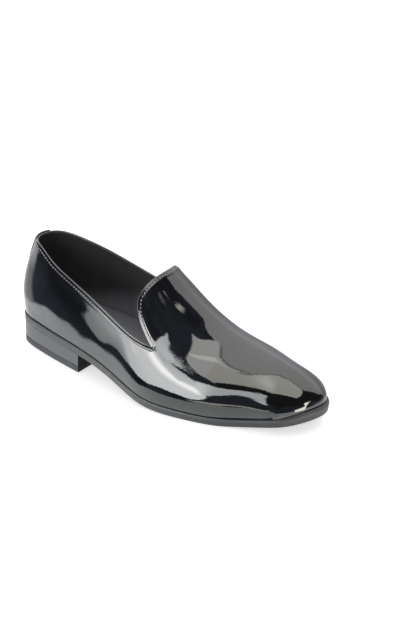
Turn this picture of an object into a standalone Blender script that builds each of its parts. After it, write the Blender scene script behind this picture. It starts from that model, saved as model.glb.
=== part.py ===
"""Right-foot slip-on dress shoe: a hollow last-shaped upper on a sole with a low heel.

Metres, +Z up. The toe points to +X, the outer side of the foot to -Y, the inner side to +Y.
The last is one surface, lofted through SECTIONS. The upper, sole, insole and heel tab are all cut from it.
A point of the surface has a section x, counted from the back of the heel, and an angle in that section:
0 at the widest line of the outer side, a quarter turn on the ridge, a half turn on the inner side.
"""
from collections import namedtuple

import bpy
import numpy as np

# Driving sizes of the last and its pieces
UPPER_LENGTH = 0.2943
WALL = 0.0018
GAP = 0.0003
SOLE_THICKNESS = 0.0068
WELT_THICKNESS = 0.0020
WELT_STEP = 0.0004
SOLE_MARGIN_SIDE = 0.0008
SOLE_MARGIN_TOE = 0.0036
TOE_MARGIN_START = 0.266
TOE_MARGIN_END = 0.2935
HEEL_LENGTH = 0.0803
HEEL_INSET = 0.0002
LIFT_THICKNESS = 0.0055
INSOLE_THICKNESS = 0.0025
INSOLE_INSET = WALL + 2 * GAP

# Shape of the last
HEEL_END_RADIUS = 0.027
TOE_END_RADIUS = 0.018
TOE_END_Y = 0.010
TOE_BLUNTNESS = 6.0
BULGE_HEIGHT = 0.0063
BULGE_FALL = 0.0024
BULGE_FALL_START = 0.262
BACK_REACH = 0.110

# Collar and tongue edge
NOTCH_X = 0.1614
INNER_COLLAR_RISE = 0.009
TONGUE_X = 0.1348
TONGUE_DIP = 0.008
TONGUE_CORNER = 1.2
TONGUE_TURN = 11.0

# Heel tab over the back seam
TAB_THICKNESS = 0.0009
TAB_LENGTH = 0.032
TAB_TOP_WIDTH = 0.024
TAB_FOOT_WIDTH = 0.011

# Mesh counts
QUARTER_SPOKES = 16
VAMP_SPOKES = 20
UPPER_ROWS = 16
ROW_CROWDING = 1.25
TONGUE_CROWDING = 1.5
SOLE_STATIONS = 36
HEEL_STATIONS = 14
TAB_COLUMNS = 8
TAB_ROWS = 8
HALVINGS = 50
SHARP_DEGREES = 40

# Colours and finishes
BLACK = (0.006, 0.006, 0.008)
SOLE_GREY = (0.018, 0.018, 0.020)
HEEL_GREY = (0.045, 0.045, 0.048)
RUBBER_GREY = (0.010, 0.010, 0.011)
SOCK_GREY = (0.020, 0.020, 0.022)
PATENT_ROUGHNESS = 0.06
PATENT_COAT = 1.0
HEEL_ROUGHNESS = 0.35
SOLE_ROUGHNESS = 0.55
RUBBER_ROUGHNESS = 0.60
SOCK_ROUGHNESS = 0.75

# One row a section: half widths at the widest line, top of the ridge, its side shift, how square the top is
Section = namedtuple("Section", "x outer inner ridge ridge_y fullness")
SECTIONS = (
    Section(0.000, 0.0000, 0.0000, 0.1300, 0.0030, 0.10),
    Section(0.014, 0.0222, 0.0222, 0.1298, 0.0060, 0.10),
    Section(0.040, 0.0303, 0.0308, 0.1290, 0.0068, 0.18),
    Section(0.085, 0.0396, 0.0344, 0.1200, 0.0065, 0.07),
    Section(0.125, 0.0471, 0.0354, 0.1120, 0.0045, 0.09),
    Section(0.160, 0.0544, 0.0415, 0.0848, 0.0060, 0.03),
    Section(0.195, 0.0512, 0.0487, 0.0620, 0.0078, -0.15),
    Section(0.230, 0.0420, 0.0493, 0.0508, 0.0100, -0.17),
    Section(0.262, 0.0304, 0.0408, 0.0421, 0.0108, -0.17),
    Section(0.284, 0.0154, 0.0301, 0.0321, 0.0109, -0.10),
)

# Height of the sole's underside over the floor: heel seat, waist, tread and toe spring
Rise = namedtuple("Rise", "x underside")
SOLE_RISE = (
    Rise(0.000, 0.0204),
    Rise(0.040, 0.0192),
    Rise(0.070, 0.0178),
    Rise(0.100, 0.0143),
    Rise(0.130, 0.0078),
    Rise(0.160, 0.0018),
    Rise(0.190, 0.0000),
    Rise(0.220, 0.0000),
    Rise(0.255, 0.0034),
    Rise(0.296, 0.0117),
)

# Lean of the back seam: forward shift at a height above the sole
Back = namedtuple("Back", "height shift")
BACK_CURVE = (
    Back(0.000, -0.0030),
    Back(0.018, -0.0046),
    Back(0.040, -0.0012),
    Back(0.065, 0.0076),
    Back(0.090, 0.0180),
)

# Height of the collar edge on the outer side, from the back seam to the notch
Collar = namedtuple("Collar", "x height")
COLLAR = (
    Collar(0.000, 0.0973),
    Collar(0.016, 0.0952),
    Collar(0.036, 0.0894),
    Collar(0.072, 0.0790),
    Collar(0.108, 0.0681),
    Collar(0.144, 0.0570),
    Collar(NOTCH_X, 0.0531),
)


def column(rows, name):
    return np.array([getattr(row, name) for row in rows])


def spline(xs, ys):
    """Natural cubic spline through the points, as a function."""
    xs = np.asarray(xs, float)
    ys = np.asarray(ys, float)
    count = len(xs)
    step = np.diff(xs)
    slope = np.diff(ys) / step
    matrix = np.eye(count)
    right = np.zeros(count)
    for i in range(1, count - 1):
        matrix[i, i - 1:i + 2] = step[i - 1], 2 * (step[i - 1] + step[i]), step[i]
        right[i] = 6 * (slope[i] - slope[i - 1])
    bend = np.linalg.solve(matrix, right)

    def value(x):
        x = np.asarray(x, float)
        i = np.clip(np.searchsorted(xs, x) - 1, 0, count - 2)
        after = xs[i + 1] - x
        before = x - xs[i]
        cubic = (bend[i] * after ** 3 + bend[i + 1] * before ** 3) / (6 * step[i])
        start = ys[i] / step[i] - bend[i] * step[i] / 6
        end = ys[i + 1] / step[i] - bend[i + 1] * step[i] / 6
        return cubic + start * after + end * before

    return value


def smooth_share(x, start, end):
    """0 before start, 1 after end, with a soft S between."""
    share = np.clip((x - start) / (end - start), 0, 1)
    return share * share * (3 - 2 * share)


def round_ends(x):
    """Plan factor of a last: half round at the heel and at the toe, 1 at mid length."""
    share = np.clip(x / UPPER_LENGTH, 0, 1)
    return 2 * np.sqrt(share * (1 - share))


def blunt_toe(x):
    """Height factor: 1 along the shoe, closing in a round nose at the toe."""
    share = np.clip(x / UPPER_LENGTH, 0, 1)
    return np.sqrt(1 - share ** TOE_BLUNTNESS)


SECTION_X = column(SECTIONS, "x")
ALL_X = np.append(SECTION_X, UPPER_LENGTH)
HALF_WIDTH = (column(SECTIONS, "outer") + column(SECTIONS, "inner")) / 2
SIDE_SHIFT = (column(SECTIONS, "inner") - column(SECTIONS, "outer")) / 2
WIDTH_ENDS = np.sqrt(np.array([HEEL_END_RADIUS, TOE_END_RADIUS]) * UPPER_LENGTH / 2)

underside = spline(column(SOLE_RISE, "x"), column(SOLE_RISE, "underside"))
width_factor = spline(ALL_X, np.concatenate([
    WIDTH_ENDS[:1], HALF_WIDTH[1:] / round_ends(SECTION_X[1:]), WIDTH_ENDS[1:]]))
middle_y = spline(ALL_X, np.append(SIDE_SHIFT, TOE_END_Y))
ridge_y = spline(ALL_X, np.append(column(SECTIONS, "ridge_y"), TOE_END_Y))
fullness = spline(ALL_X, np.append(column(SECTIONS, "fullness"), 0.0))
back_shift = spline(column(BACK_CURVE, "height"), column(BACK_CURVE, "shift"))
outer_collar = spline(column(COLLAR, "x"), column(COLLAR, "height"))


def sole_top(x):
    return underside(x) + SOLE_THICKNESS


def bulge(x):
    """Height of the widest line over the sole, lower at the toe."""
    return BULGE_HEIGHT - BULGE_FALL * smooth_share(x, BULGE_FALL_START, UPPER_LENGTH)


def widest_z(x):
    return sole_top(x) + bulge(x)


height_factor = spline(SECTION_X, (column(SECTIONS, "ridge") - widest_z(SECTION_X)) / blunt_toe(SECTION_X))


def half_height(x):
    return blunt_toe(x) * height_factor(x)


def surface(x, angle):
    """Point of the last's outer surface."""
    x = np.asarray(x, float)
    sine = np.sin(angle)
    cosine = np.cos(angle)
    middle = middle_y(x)
    half = round_ends(x) * width_factor(x)
    lean = (ridge_y(x) - middle) * np.maximum(sine, 0) ** 3
    y = middle - half * cosine * (1 + fullness(x) * sine ** 2) + lean
    z = widest_z(x) + half_height(x) * sine
    near_back = np.clip(1 - x / BACK_REACH, 0, 1) ** 2
    shifted = x + back_shift(np.maximum(z - sole_top(x), 0)) * near_back
    return np.stack(np.broadcast_arrays(shifted, y, z), -1)


def angle_at(x, z):
    """Angle on the outer side where the surface has height z."""
    return np.arcsin(np.clip((z - widest_z(x)) / half_height(x), -1, 1))


def foot_angle(x):
    """Angle of the upper's lower edge, just clear of the sole."""
    return angle_at(x, sole_top(x) + GAP)


def toe_foot_x():
    """Section where the lower edge of the upper closes under the toe."""
    low, high = SECTION_X[-1], UPPER_LENGTH
    for _ in range(HALVINGS):
        middle = (low + high) / 2
        if half_height(middle) > bulge(middle) - GAP:
            low = middle
        else:
            high = middle
    return low


TOE_FOOT_X = toe_foot_x()


def inner_collar(x):
    """The collar stands higher on the inner side, most of all at the notch."""
    return outer_collar(x) + INNER_COLLAR_RISE * smooth_share(x, 0, NOTCH_X)


def plan_loop(xs, margin):
    """Plan outline of the lower edge, pushed out by margin: back, outer side, front, inner side."""
    angles = foot_angle(xs)
    outer = surface(xs, angles)
    inner = surface(xs, np.pi - angles)
    back_to_front = np.append(xs, xs[:0:-1])
    loop = np.concatenate([outer, inner[:0:-1]])
    if xs[-1] == TOE_FOOT_X:
        keep = np.arange(len(loop)) != len(xs)
        loop = loop[keep]
        back_to_front = back_to_front[keep]
    along = np.roll(loop, -1, 0) - np.roll(loop, 1, 0)
    outward = np.stack([along[:, 1], -along[:, 0]], -1)
    outward /= np.linalg.norm(outward, axis=1)[:, None]
    return back_to_front, loop[:, :2] + outward * np.reshape(margin(back_to_front), (-1, 1))


def sole_margin(x):
    extra = SOLE_MARGIN_TOE - SOLE_MARGIN_SIDE
    return SOLE_MARGIN_SIDE + extra * smooth_share(x, TOE_MARGIN_START, TOE_MARGIN_END)


def whole_length():
    """Sections from the back to under the toe, crowded at both round ends."""
    turn = np.linspace(0, np.pi, SOLE_STATIONS + 1)
    xs = TOE_FOOT_X * (1 - np.cos(turn)) / 2
    xs[-1] = TOE_FOOT_X
    return xs


def stack(levels):
    """Closed solid through outline levels, bottom to top; a strip of faces closes each end."""
    count = len(levels[0])
    faces = []
    for level in range(len(levels) - 1):
        low = level * count
        high = low + count
        for i in range(count):
            j = (i + 1) % count
            faces.append((low + i, low + j, high + j, high + i))
    top = (len(levels) - 1) * count
    for i in range((count - 1) // 2 + (count % 2 == 0)):
        ring = list(dict.fromkeys((i, i + 1, count - i - 1, (count - i) % count)))
        faces.append(tuple(reversed(ring)))
        faces.append(tuple(top + k for k in ring))
    return np.concatenate(levels), faces


def at_height(plan, z):
    return np.column_stack([plan, np.broadcast_to(z, len(plan))])


def finish_material(name, colour, roughness, coat=0.0):
    material = bpy.data.materials.new(name)
    material.use_nodes = True
    shader = material.node_tree.nodes["Principled BSDF"]
    shader.inputs["Base Color"].default_value = (*colour, 1.0)
    shader.inputs["Roughness"].default_value = roughness
    shader.inputs["Metallic"].default_value = 0.0
    shader.inputs["Coat Weight"].default_value = coat
    return material


def add_part(name, vertices, faces, material):
    mesh = bpy.data.meshes.new(name)
    mesh.from_pydata([tuple(map(float, v)) for v in vertices], [], faces)
    mesh.materials.append(material)
    mesh.shade_smooth()
    mesh.set_sharp_from_angle(angle=np.radians(SHARP_DEGREES))
    part = bpy.data.objects.new(name, mesh)
    shoe_parts.objects.link(part)
    part.parent = shoe
    return part


def solidify(part, thickness, offset):
    shell = part.modifiers.new("wall", "SOLIDIFY")
    shell.thickness = thickness
    shell.offset = offset
    shell.use_even_offset = True
    shell.use_quality_normals = True


def tongue_edge(share):
    """Section of the tongue edge: round out of the notch, then across the instep with a slight dip."""
    from_notch = (1 - share ** TONGUE_CORNER) ** TONGUE_TURN
    return TONGUE_X + (NOTCH_X - TONGUE_X) * from_notch + TONGUE_DIP * smooth_share(share, 0, 1)


def side_spokes(collar):
    """Spokes of one side from the back seam to the toe: foot x, foot angle, top x, top angle, straightness."""
    quarter = np.linspace(0, 1, QUARTER_SPOKES + 1)
    vamp = np.linspace(0, 1, VAMP_SPOKES + 1)[1:]
    share = vamp ** TONGUE_CROWDING
    quarter_x = NOTCH_X * (1 - np.cos(np.pi / 2 * quarter))
    foot_x = np.append(quarter_x, NOTCH_X + (TOE_FOOT_X - NOTCH_X) * np.sin(np.pi / 2 * vamp))
    top_x = np.append(quarter_x, tongue_edge(share))
    notch_angle = angle_at(NOTCH_X, collar(NOTCH_X))
    tongue_angle = notch_angle + (np.pi / 2 - notch_angle) * share
    top_angle = np.append(angle_at(quarter_x, collar(quarter_x)), tongue_angle)
    straight = np.append(smooth_share(quarter, 0, 1), np.ones_like(vamp))
    return np.column_stack([foot_x, foot_angle(foot_x), top_x, top_angle, straight])


def spoke_points(spokes, side):
    """Rows of points up each spoke. Near the toe the spokes run straight over the nose."""
    foot_x, foot, top_x, top, straight = (value[:, None] for value in spokes.T)
    rows = np.linspace(0, 1, UPPER_ROWS + 1) ** ROW_CROWDING
    foot_reach = np.sqrt(1 - foot_x / UPPER_LENGTH)
    top_reach = np.sqrt(1 - top_x / UPPER_LENGTH)
    reach = foot_reach + (top_reach - foot_reach) * rows
    angle = foot + (top - foot) * rows
    chord_a = (1 - rows) * foot_reach * np.cos(foot) + rows * top_reach * np.cos(top)
    chord_b = (1 - rows) * foot_reach * np.sin(foot) + rows * top_reach * np.sin(top)
    a = side * ((1 - straight) * reach * np.cos(angle) + straight * chord_a)
    b = (1 - straight) * reach * np.sin(angle) + straight * chord_b
    x = np.maximum(UPPER_LENGTH * (1 - a * a - b * b), 0)
    return surface(x, np.arctan2(b, a))


def build_upper(material):
    outer = spoke_points(side_spokes(outer_collar), 1)
    inner = spoke_points(side_spokes(inner_collar), -1)
    grid = np.concatenate([outer, inner[-2:0:-1]])
    columns, rows = grid.shape[:2]
    faces = []
    for c in range(columns):
        here = c * rows
        beside = (c + 1) % columns * rows
        for r in range(rows - 1):
            faces.append((here + r, beside + r, beside + r + 1, here + r + 1))
    upper = add_part("upper", grid.reshape(-1, 3), faces, material)
    solidify(upper, WALL, -1.0)


def build_outsole(material):
    xs, edge = plan_loop(whole_length(), sole_margin)
    _, lower_edge = plan_loop(whole_length(), lambda x: sole_margin(x) - WELT_STEP)
    floor_side = np.maximum(underside(xs), 0)
    step = sole_top(xs) - WELT_THICKNESS
    levels = [
        at_height(lower_edge, floor_side),
        at_height(lower_edge, step),
        at_height(edge, step),
        at_height(edge, sole_top(xs)),
    ]
    add_part("outsole", *stack(levels), material)


def heel_plan():
    """D-shaped plan of the heel, flat at its breast."""
    turn = np.linspace(0, np.pi / 2, HEEL_STATIONS + 1)
    sections = HEEL_LENGTH * (1 - np.cos(turn))
    beyond = np.append(sections, 2 * HEEL_LENGTH - sections[-2])
    xs, plan = plan_loop(beyond, lambda x: sole_margin(x) - WELT_STEP - HEEL_INSET)
    front = len(sections)
    keep = np.r_[0:front, front + 2:len(plan)]
    plan = plan[keep]
    plan[front - 1:front + 1, 0] = HEEL_LENGTH
    return xs[keep], plan


def build_heel(block_material, lift_material):
    xs, plan = heel_plan()
    seat = underside(xs) - GAP
    block = [at_height(plan, LIFT_THICKNESS + GAP), at_height(plan, seat)]
    add_part("heel_block", *stack(block), block_material)
    lift = [at_height(plan, 0.0), at_height(plan, LIFT_THICKNESS)]
    add_part("top_lift", *stack(lift), lift_material)


def build_insole(material):
    xs, edge = plan_loop(whole_length(), lambda x: np.full_like(x, -INSOLE_INSET))
    bottom = sole_top(xs) + GAP
    add_part("insole", *stack([at_height(edge, bottom), at_height(edge, bottom + INSOLE_THICKNESS)]), material)


def build_heel_tab(material):
    """Strip over the back seam, on the upper's own surface, tapering from the collar down."""
    down = np.linspace(1, 0, TAB_ROWS + 1)[None, :]
    across = np.linspace(-1, 1, TAB_COLUMNS + 1)[:, None]
    half = (TAB_TOP_WIDTH + (TAB_FOOT_WIDTH - TAB_TOP_WIDTH) * down) / 2
    x = (half * across) ** 2 / (2 * HEEL_END_RADIUS)
    z = outer_collar(x) - TAB_LENGTH * down
    outer_angle = angle_at(x, z)
    points = surface(x, np.where(across < 0, outer_angle, np.pi - outer_angle))
    columns, rows = points.shape[:2]
    faces = []
    for c in range(columns - 1):
        for r in range(rows - 1):
            here = c * rows + r
            faces.append((here, here + 1, here + rows + 1, here + rows))
    tab = add_part("heel_tab", points.reshape(-1, 3), faces, material)
    solidify(tab, TAB_THICKNESS, 1 + 2 * GAP / TAB_THICKNESS)


def frame_middle():
    """Middle of the shoe's length and width, from the sole's edge and the upper's back."""
    _, edge = plan_loop(whole_length(), sole_margin)
    back = min(edge[:, 0].min(), column(BACK_CURVE, "shift").min())
    front = max(edge[:, 0].max(), UPPER_LENGTH)
    return (back + front) / 2, (edge[:, 1].min() + edge[:, 1].max()) / 2


for old in list(bpy.data.objects):
    bpy.data.objects.remove(old, do_unlink=True)

shoe_parts = bpy.data.collections.new("slip_on_shoe")
bpy.context.scene.collection.children.link(shoe_parts)
shoe = bpy.data.objects.new("shoe_frame", None)
shoe_parts.objects.link(shoe)
middle_x, middle_width = frame_middle()
shoe.location = (-middle_x, -middle_width, 0.0)

patent = finish_material("patent_leather", BLACK, PATENT_ROUGHNESS, PATENT_COAT)
tab_patent = finish_material("tab_patent_leather", BLACK, PATENT_ROUGHNESS, PATENT_COAT)
sole_edge = finish_material("sole_rubber", SOLE_GREY, SOLE_ROUGHNESS)
stacked_heel = finish_material("heel_block_finish", HEEL_GREY, HEEL_ROUGHNESS)
lift_rubber = finish_material("lift_rubber", RUBBER_GREY, RUBBER_ROUGHNESS)
sock_lining = finish_material("sock_lining", SOCK_GREY, SOCK_ROUGHNESS)

build_upper(patent)
build_outsole(sole_edge)
build_heel(stacked_heel, lift_rubber)
build_insole(sock_lining)
build_heel_tab(tab_patent)
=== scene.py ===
"""Looks of the right-foot slip-on dress shoe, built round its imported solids.

Metres, +Z up, in the solids' own frame. The last's sections count x from the back of the heel.
The outer side of the foot is -Y, the inner side +Y, and the toe points to +X.
"""
import math
from collections import namedtuple

import bpy
import numpy as np
from mathutils import Matrix, Vector
from mathutils.kdtree import KDTree


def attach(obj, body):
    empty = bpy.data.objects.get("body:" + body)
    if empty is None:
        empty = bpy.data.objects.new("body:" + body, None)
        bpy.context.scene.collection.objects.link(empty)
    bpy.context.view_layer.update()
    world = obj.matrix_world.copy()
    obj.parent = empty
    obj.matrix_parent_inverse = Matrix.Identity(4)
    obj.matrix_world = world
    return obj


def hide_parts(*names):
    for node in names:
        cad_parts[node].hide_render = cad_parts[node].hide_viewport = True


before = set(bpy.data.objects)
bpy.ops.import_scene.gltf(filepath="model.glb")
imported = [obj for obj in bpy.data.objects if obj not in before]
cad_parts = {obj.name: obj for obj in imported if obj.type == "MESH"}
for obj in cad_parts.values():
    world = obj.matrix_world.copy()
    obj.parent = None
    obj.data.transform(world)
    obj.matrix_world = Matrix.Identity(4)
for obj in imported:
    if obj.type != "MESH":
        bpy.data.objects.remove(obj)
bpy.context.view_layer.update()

# Camera of the photograph
CAMERA_PLACE = (0.80732, -1.09554, 0.74455)
CAMERA_AIM = (0.02387, 0.02596, 0.05986)
CAMERA_LENS = 105.575
CAMERA_ROLL = 0.99

# Driving sizes, the same as in the solids
UPPER_LENGTH = 0.2943
WALL = 0.0018
GAP = 0.0003
SOLE_THICKNESS = 0.0068
WELT_THICKNESS = 0.0020
WELT_STEP = 0.0004
SOLE_MARGIN_SIDE = 0.0008
SOLE_MARGIN_TOE = 0.0036
TOE_MARGIN_START = 0.266
TOE_MARGIN_END = 0.2935
HEEL_LENGTH = 0.0803
HEEL_INSET = 0.0002
LIFT_THICKNESS = 0.0055
INSOLE_THICKNESS = 0.0025
INSOLE_INSET = WALL + 2 * GAP
HEEL_END_RADIUS = 0.027
TOE_END_RADIUS = 0.018
TOE_END_Y = 0.010
TOE_BLUNTNESS = 6.0
BULGE_HEIGHT = 0.0063
BULGE_FALL = 0.0024
BULGE_FALL_START = 0.262
BACK_REACH = 0.110
NOTCH_X = 0.1614
INNER_COLLAR_RISE = 0.009
TONGUE_X = 0.1348
TONGUE_DIP = 0.008
TONGUE_CORNER = 1.2
TONGUE_TURN = 11.0
TAB_THICKNESS = 0.0009
TAB_LENGTH = 0.032
TAB_TOP_WIDTH = 0.024
TAB_FOOT_WIDTH = 0.011
FRAME_STATIONS = 36

# Sizes of the leatherwork
LEATHER = 0.0010
RIM_RADIUS = WALL / 2
FOLD_DEPTH = 0.0024
FOLD_LINES = (0.0015, 0.0019, FOLD_DEPTH)
RIM_GROOVE = 0.30
RIM_GROOVE_TURN = 0.25
RIM_FALL = 0.0006
RIM_STRIP = 0.0027
RELIEF_START = 0.002
RELIEF_END = 0.012
FOOT_TURN = 0.0016
FOOT_DEPTH = 0.0005
FOOT_FADE_START = 0.24
FOOT_FADE_END = 0.27
NOTCH_REACH = 0.02
NOTCH_ASIDE = 0.015
STITCH_LINE = 0.0031
STITCH_PITCH = 0.0032
STITCH_LENGTH = 0.0020
STITCH_GROOVE = 0.00016
STITCH_GROOVE_WIDTH = 0.0005
RIDGE_LINE = 0.0046
RIDGE_HEIGHT = 0.00006
RIDGE_WIDTH = 0.0008
THREAD_RADIUS = 0.00038
TAB_REACH = 0.02
TAB_ROUNDING = 0.0007
TAB_EDGE = 0.25
LINING_GAP = 0.0001
LINING_SEAM_X = 0.0805
LINING_SEAM_HALF = 0.0010
LINING_STEP = 0.0004
SEAM_OFFSET = 0.0025
SEAM_PITCH = 0.0022
SEAM_LENGTH = SEAM_PITCH * 0.8
SEAM_RADIUS = THREAD_RADIUS * 0.6
SEAM_SWAY = 0.0007
HEEL_BEVEL = 0.0003
BREAST_DEPTH = 0.0004
RIB_PITCH = 0.0012
RIB_DEPTH = 0.00014
RIB_SLANT = 1.0
RIB_MARGIN = 0.0008
RIB_END = 0.001
CORNER_RADIUS = 0.0007
BEVEL_LEFT = 0.1
BEVEL_RUN = 0.008
TOE_BEAD = 0.0022
BEAD_START = 0.255

# Mesh counts
QUARTER_COLUMNS = 120
VAMP_COLUMNS = 130
TONGUE_CROWDING = 1.5
FINE_ROWS = 300
FIELD_ROWS = 84
RIM_ROWS = 18
HIDDEN_ROWS = 16
LINING_ROWS = 48
SEAM_FOOT_ROW = 8
STITCH_RINGS = 7
STITCH_SIDES = 6
TAB_COLUMNS = 49
TAB_ROWS = 61
SOLE_STATIONS = 200
HEEL_STATIONS = 120
CORNER_STEPS = 4
RIB_POINTS = 1500
RIB_LEVELS = 9

Section = namedtuple("Section", "x outer inner ridge ridge_y fullness")
SECTIONS = (
    Section(0.000, 0.0000, 0.0000, 0.1300, 0.0030, 0.10),
    Section(0.014, 0.0222, 0.0222, 0.1298, 0.0060, 0.10),
    Section(0.040, 0.0303, 0.0308, 0.1290, 0.0068, 0.18),
    Section(0.085, 0.0396, 0.0344, 0.1200, 0.0065, 0.07),
    Section(0.125, 0.0471, 0.0354, 0.1120, 0.0045, 0.09),
    Section(0.160, 0.0544, 0.0415, 0.0848, 0.0060, 0.03),
    Section(0.195, 0.0512, 0.0487, 0.0620, 0.0078, -0.15),
    Section(0.230, 0.0420, 0.0493, 0.0508, 0.0100, -0.17),
    Section(0.262, 0.0304, 0.0408, 0.0421, 0.0108, -0.17),
    Section(0.284, 0.0154, 0.0301, 0.0321, 0.0109, -0.10),
)

Rise = namedtuple("Rise", "x underside")
SOLE_RISE = (
    Rise(0.000, 0.0204),
    Rise(0.040, 0.0192),
    Rise(0.070, 0.0178),
    Rise(0.100, 0.0143),
    Rise(0.130, 0.0078),
    Rise(0.160, 0.0018),
    Rise(0.190, 0.0000),
    Rise(0.220, 0.0000),
    Rise(0.255, 0.0034),
    Rise(0.296, 0.0117),
)

Back = namedtuple("Back", "height shift")
BACK_CURVE = (
    Back(0.000, -0.0030),
    Back(0.018, -0.0046),
    Back(0.040, -0.0012),
    Back(0.065, 0.0076),
    Back(0.090, 0.0180),
)

Collar = namedtuple("Collar", "x height")
COLLAR = (
    Collar(0.000, 0.0973),
    Collar(0.016, 0.0952),
    Collar(0.036, 0.0894),
    Collar(0.072, 0.0790),
    Collar(0.108, 0.0681),
    Collar(0.144, 0.0570),
    Collar(NOTCH_X, 0.0531),
)

# Creases of the leather: a soft trough between two points of a side, x along the shoe and z over the floor
Crease = namedtuple("Crease", "side x1 z1 x2 z2 width depth")
CREASES = (
    Crease(-1, 0.0366, 0.0415, 0.0392, 0.0300, 0.0030, 0.00006),
    Crease(-1, 0.1462, 0.0900, 0.1570, 0.0690, 0.0022, 0.00012),
    Crease(-1, 0.1500, 0.0880, 0.1620, 0.0700, 0.0026, 0.00009),
)

# Slow waves of leather pulled over a last: wavelength in metres, direction and height
Wave = namedtuple("Wave", "length direction height phase")
WAVES = (
    Wave(0.046, (0.9, 0.2, 0.4), 0.000060, 0.3),
    Wave(0.033, (0.4, 0.3, -0.9), 0.000040, 1.9),
    Wave(0.027, (-0.6, 0.7, 0.5), 0.000030, 4.1),
    Wave(0.019, (0.8, -0.3, 0.7), 0.000012, 2.6),
    Wave(0.015, (0.2, 0.5, 0.9), 0.000008, 5.3),
)

# Studio light round the shoe, in degrees: azimuth from +X towards +Y, elevation, edge softness, level, tint
Panel = namedtuple("Panel", "name azimuth width azimuth_soft low low_soft high high_soft level tint")
NEUTRAL = (1.0, 1.0, 0.985)
COOL = (0.95, 1.0, 1.0)
WARM = (1.0, 0.985, 0.90)
PANELS = (
    Panel("sweep", 113, 96, 3, 24, 70, 77, 4, 1.8, NEUTRAL),
    Panel("front_table", -10, 90, 10, -95, 2, -14, 5, 1.5, NEUTRAL),
    Panel("toe_rim", 45, 70, 20, -95, 2, 5, 20, 1.1, NEUTRAL),
    Panel("back_wall", 168, 58, 6, -40, 6, 10, 20, 0.62, NEUTRAL),
    Panel("back_high", 168, 58, 6, -14, 12, 10, 20, 1.2, NEUTRAL),
    Panel("table_back", -150, 70, 8, -95, 2, -24.6, 1.2, 1.5, COOL),
    Panel("table_close", -165, 50, 10, -80, 4, -35, 6, 3.6, NEUTRAL),
    Panel("table_toe", -35, 80, 8, -95, 2, -17, 4, 1.3, NEUTRAL),
    Panel("table_far", 100, 190, 10, -95, 2, -24, 6, 1.2, NEUTRAL),
    Panel("far_side", 75, 90, 24, -60, 10, 20, 16, 0.3, NEUTRAL),
)
DARK_ROOM = (0.100, 0.112, 0.145)

# Lit cards and black flags, seen only in reflections: a card faces the shoe from its azimuth and elevation.
# Its corners, its bright spot and the spot's spread are metres across and up; base and peak are light levels.
# A card without a spot is evenly lit.
# The corners follow the edges of the bright and dark shapes that the leather mirrors in the photograph
CARD_FIELDS = "name azimuth elevation distance corners base tint spot spread peak"
Card = namedtuple("Card", CARD_FIELDS, defaults=(None, None, 0.0))
SIDE = (-115.0, 0.0)
CEILING = (-90.0, 90.0)
TOE_SIDE = (-13.0, 45.0)
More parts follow.
